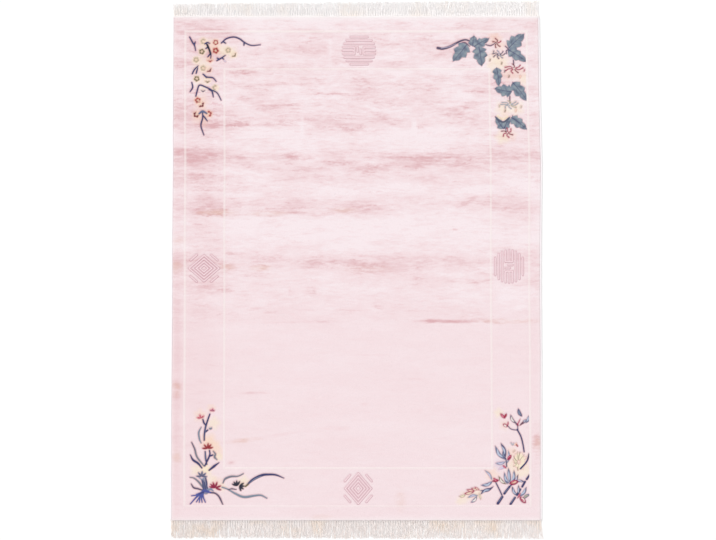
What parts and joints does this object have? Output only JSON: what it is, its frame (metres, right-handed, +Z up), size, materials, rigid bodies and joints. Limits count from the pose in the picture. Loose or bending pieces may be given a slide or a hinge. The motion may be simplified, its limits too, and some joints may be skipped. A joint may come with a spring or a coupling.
{
  "type": "chinese silk rug",
  "caption": "Flat rectangular hand-knotted silk pile rug with two carved frame lines, overcast side cords and warp fringe along both ends.",
  "frame": {"origin": "centre of the rug's underside, on the floor", "axes": "+X across the rug to its right side, +Y along the rug to its far end, +Z up through the pile"},
  "size_m": [1.842, 2.6681, 0.01],
  "materials": {
    "silk_pile": "cut silk pile, soft sheen",
    "side_cord": "overcast silk yarn, matte",
    "warp_cotton": "twisted cotton warp, matte"
  },
  "bodies": {
    "root": {"pile_cloth": "silk_pile", "left_side_cord": "side_cord", "right_side_cord": "side_cord", "near_fringed_band": "warp_cotton", "far_fringed_band": "warp_cotton"}
  },
  "joints": []
}
